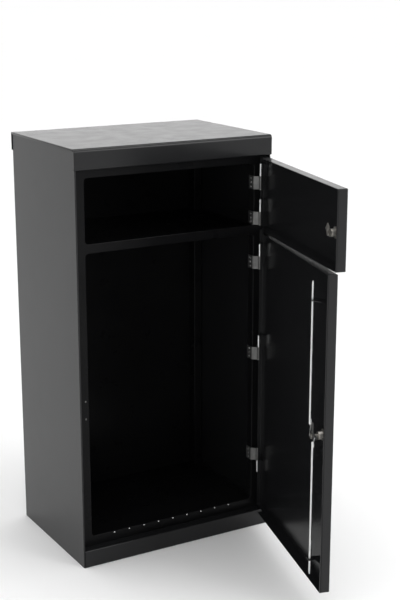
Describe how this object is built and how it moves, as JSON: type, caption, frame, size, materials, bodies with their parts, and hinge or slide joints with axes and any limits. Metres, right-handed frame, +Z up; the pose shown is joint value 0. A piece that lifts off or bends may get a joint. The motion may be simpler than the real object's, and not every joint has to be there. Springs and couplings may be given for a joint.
{
  "type": "parcel drop box",
  "caption": "Free-standing sheet-steel parcel drop box with a small upper door, a tall lower door with a rod lock, and a shelf between the two compartments.",
  "frame": {"origin": "centre of the cabinet's base, on the floor", "axes": "+Z up, -Y out of the front, +X towards the hinges; metres"},
  "size_m": [0.518, 0.8224, 1],
  "materials": {
    "black_coat": "satin",
    "black_inside": "satin",
    "plain_steel": "satin",
    "bright_zinc": "polished",
    "lock_zinc": "satin"
  },
  "bodies": {
    "cabinet": {"top_cover": "black_coat", "left_side_panel": "black_coat", "right_side_panel": "black_coat", "back_panel": "black_coat", "base_pan": "black_coat", "plinth": "black_coat", "front_frame": "black_inside", "shelf": "black_inside", "floor_panel": "black_inside", "rear_post_left": "black_inside", "rear_post_right": "black_inside", "hinge_bracket_1": "plain_steel", "hinge_bracket_2": "plain_steel", "hinge_bracket_3": "plain_steel", "hinge_bracket_4": "plain_steel", "hinge_bracket_5": "plain_steel", "hinge_pin_1": "bright_zinc", "hinge_pin_2": "bright_zinc", "hinge_pin_3": "bright_zinc", "hinge_pin_4": "bright_zinc", "hinge_pin_5": "bright_zinc"},
    "upper_door": {"hinge_tube_1": "bright_zinc", "hinge_tube_2": "bright_zinc", "hinge_saddle_1": "black_coat", "hinge_saddle_2": "black_coat", "upper_door_pan": "black_coat", "upper_lock_housing": "lock_zinc", "upper_lock_nut": "lock_zinc"},
    "lower_door": {"hinge_tube_3": "bright_zinc", "hinge_tube_4": "bright_zinc", "hinge_tube_5": "bright_zinc", "hinge_saddle_3": "black_coat", "hinge_saddle_4": "black_coat", "hinge_saddle_5": "black_coat", "lower_door_pan": "black_coat", "lower_lock_housing": "lock_zinc", "lower_lock_nut": "lock_zinc", "upper_rod_guide": "black_coat", "lower_rod_guide": "black_coat"},
    "upper_lock": {"upper_lock_plug": "lock_zinc", "upper_lock_cam": "lock_zinc", "upper_cam_nut": "lock_zinc"},
    "lower_lock": {"lower_lock_plug": "lock_zinc", "lower_lock_rotor": "plain_steel", "lower_rotor_nut": "lock_zinc"},
    "rod_up": {"upper_rod": "bright_zinc"},
    "rod_down": {"lower_rod": "bright_zinc"}
  },
  "joints": [
    {"name": "upper_door_hinge", "type": "hinge", "parent": "cabinet", "child": "upper_door", "pos_m": [0.2365, -0.166, 0.861], "axis": [0, 0, 1], "range_deg": [-77, 18]},
    {"name": "lower_door_hinge", "type": "hinge", "parent": "cabinet", "child": "lower_door", "pos_m": [0.2365, -0.166, 0.408], "axis": [0, 0, 1], "range_deg": [-75, 20]},
    {"name": "upper_lock_turn", "type": "hinge", "parent": "upper_door", "child": "upper_lock", "pos_m": [0.12778, -0.59247, 0.848], "axis": [0.9744, -0.225, 0], "range_deg": [-40, 50]},
    {"name": "lower_lock_turn", "type": "hinge", "parent": "lower_door", "child": "lower_lock", "pos_m": [0.11425, -0.58359, 0.398], "axis": [0.9659, -0.2588, 0], "range_deg": [0, 90]},
    {"name": "upper_rod_slide", "type": "slide", "parent": "lower_door", "child": "rod_up", "axis": [0, 0, 1], "range_m": [0, 0.016]},
    {"name": "lower_rod_slide", "type": "slide", "parent": "lower_door", "child": "rod_down", "axis": [0, 0, -1], "range_m": [0, 0.0175]}
  ],
  "couplings": [
    {"joint": "lower_lock_turn", "follows": "upper_rod_slide", "rad_per_m": 98.17},
    {"joint": "lower_rod_slide", "follows": "upper_rod_slide", "ratio": 1}
  ]
}
